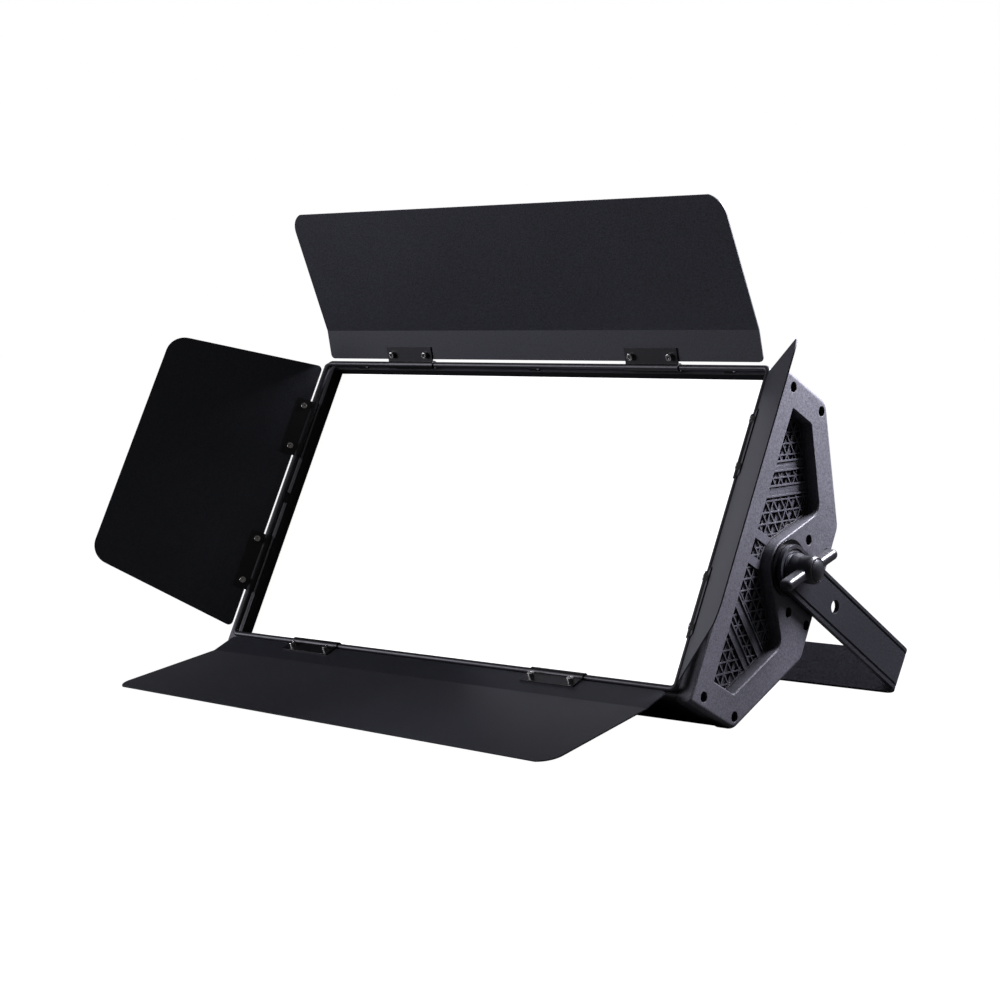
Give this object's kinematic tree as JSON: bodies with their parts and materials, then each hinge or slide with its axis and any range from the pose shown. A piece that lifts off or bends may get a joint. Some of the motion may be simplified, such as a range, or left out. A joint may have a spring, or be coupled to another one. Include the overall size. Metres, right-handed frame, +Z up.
{
  "type": "led panel light",
  "caption": "Wide LED soft panel light with a four-leaf barndoor on a round rod frame, vented side cheeks, and a tilting U yoke held by wing knobs.",
  "frame": {"origin": "the centre of the whole object's footprint box at floor level, as the light stands tilted back on its cheeks and crossbar", "axes": "+X across the light, to the viewer's right as one faces the light opening; +Y back, away from the lit side; +Z up"},
  "size_m": [0.8383, 0.5514, 0.5031],
  "materials": {
    "casing": "black powder coat on folded aluminium",
    "side_moulding": "fine-textured black moulding",
    "grille": "fine-textured black moulding",
    "screw": "black oxide",
    "diffuser": "opal",
    "reflector": "matt white",
    "circuit_board": "white solder mask",
    "emitter": "phosphor",
    "heat_sink": "plain extrusion",
    "bare_sheet": "mill finish",
    "window": "smoked acrylic",
    "key": "matt",
    "socket": "black nylon",
    "steel": "zinc plated",
    "disc": "smooth black nylon",
    "barndoor_metal": "black powder coat",
    "yoke_metal": "black powder coat",
    "knob": "satin black",
    "leaf_metal": "fine black powder coat",
    "hinge_metal": "black",
    "nickel": "nickel plated"
  },
  "bodies": {
    "housing": {"barndoor_holder": "barndoor_metal", "cheek_screws": "screw", "control_board": "circuit_board", "control_panel": "casing", "control_panel_screws": "screw", "data_sockets": "socket", "diffuser_panel": "diffuser", "display_window": "window", "driver_module": "circuit_board", "friction_discs": "disc", "front_bezel": "casing", "fuse_holder": "socket", "heat_sink": "heat_sink", "led_board": "circuit_board", "led_emitters": "emitter", "left_cheek": "side_moulding", "left_end_plate": "bare_sheet", "left_grille": "grille", "left_pivot_block": "steel", "mounting_tray": "bare_sheet", "power_inlet": "socket", "power_supply": "bare_sheet", "rear_casing": "casing", "reflector_tray": "reflector", "right_cheek": "side_moulding", "right_end_plate": "bare_sheet", "right_grille": "grille", "right_pivot_block": "steel", "rod_clips": "barndoor_metal", "rod_frame": "barndoor_metal", "safety_eye": "steel", "socket_pins": "steel"},
    "yoke": {"yoke_bracket": "yoke_metal", "arm_washers": "steel"},
    "left_knob": {"left_wing_knob": "knob", "left_knob_stud": "steel", "left_knob_cap": "knob"},
    "right_knob": {"right_wing_knob": "knob", "right_knob_stud": "steel", "right_knob_cap": "knob"},
    "top_door": {"top_leaf": "leaf_metal", "top_hinges": "hinge_metal", "top_hinge_screws": "nickel", "top_hinge_nuts": "nickel"},
    "bottom_door": {"bottom_leaf": "leaf_metal", "bottom_hinges": "hinge_metal", "bottom_hinge_screws": "nickel", "bottom_hinge_nuts": "nickel"},
    "left_door": {"left_leaf": "leaf_metal", "left_hinges": "hinge_metal", "left_hinge_screws": "nickel", "left_hinge_nuts": "nickel"},
    "right_door": {"right_leaf": "leaf_metal", "right_hinges": "hinge_metal", "right_hinge_screws": "nickel", "right_hinge_nuts": "nickel"},
    "button_1": {"menu_button_1": "key"},
    "button_2": {"menu_button_2": "key"},
    "button_3": {"menu_button_3": "key"},
    "button_4": {"menu_button_4": "key"}
  },
  "joints": [
    {"name": "yoke_tilt", "type": "hinge", "parent": "housing", "child": "yoke", "pos_m": [0, 0.05599, 0.14732], "axis": [1, 0, 0], "range_deg": [-90, 90]},
    {"name": "left_knob_turn", "type": "hinge", "parent": "yoke", "child": "left_knob", "pos_m": [-0.33, 0.05599, 0.14732], "axis": [1, 0, 0], "continuous": true},
    {"name": "right_knob_turn", "type": "hinge", "parent": "yoke", "child": "right_knob", "pos_m": [0.33, 0.05599, 0.14732], "axis": [1, 0, 0], "continuous": true},
    {"name": "top_door_hinge", "type": "hinge", "parent": "housing", "child": "top_door", "pos_m": [0, 0.04502, 0.33924], "axis": [-1, 0, 0], "range_deg": [-106, 60]},
    {"name": "bottom_door_hinge", "type": "hinge", "parent": "housing", "child": "bottom_door", "pos_m": [0, -0.10215, 0.04645], "axis": [1, 0, 0], "range_deg": [-105.4, 60.6]},
    {"name": "left_door_hinge", "type": "hinge", "parent": "housing", "child": "left_door", "pos_m": [-0.3, -0.02857, 0.19284], "axis": [0, -0.4491, -0.8935], "range_deg": [-129.5, 54.5]},
    {"name": "right_door_hinge", "type": "hinge", "parent": "housing", "child": "right_door", "pos_m": [0.3, -0.02857, 0.19284], "axis": [0, 0.4491, 0.8935], "range_deg": [-130.8, 53.2]},
    {"name": "button_1_press", "type": "slide", "parent": "housing", "child": "button_1", "axis": [0, -0.8935, 0.4491], "range_m": [0, 0.001], "stiffness_N_per_m": 400, "springref_m": -0.001},
    {"name": "button_2_press", "type": "slide", "parent": "housing", "child": "button_2", "axis": [0, -0.8935, 0.4491], "range_m": [0, 0.001], "stiffness_N_per_m": 400, "springref_m": -0.001},
    {"name": "button_3_press", "type": "slide", "parent": "housing", "child": "button_3", "axis": [0, -0.8935, 0.4491], "range_m": [0, 0.001], "stiffness_N_per_m": 400, "springref_m": -0.001},
    {"name": "button_4_press", "type": "slide", "parent": "housing", "child": "button_4", "axis": [0, -0.8935, 0.4491], "range_m": [0, 0.001], "stiffness_N_per_m": 400, "springref_m": -0.001}
  ]
}
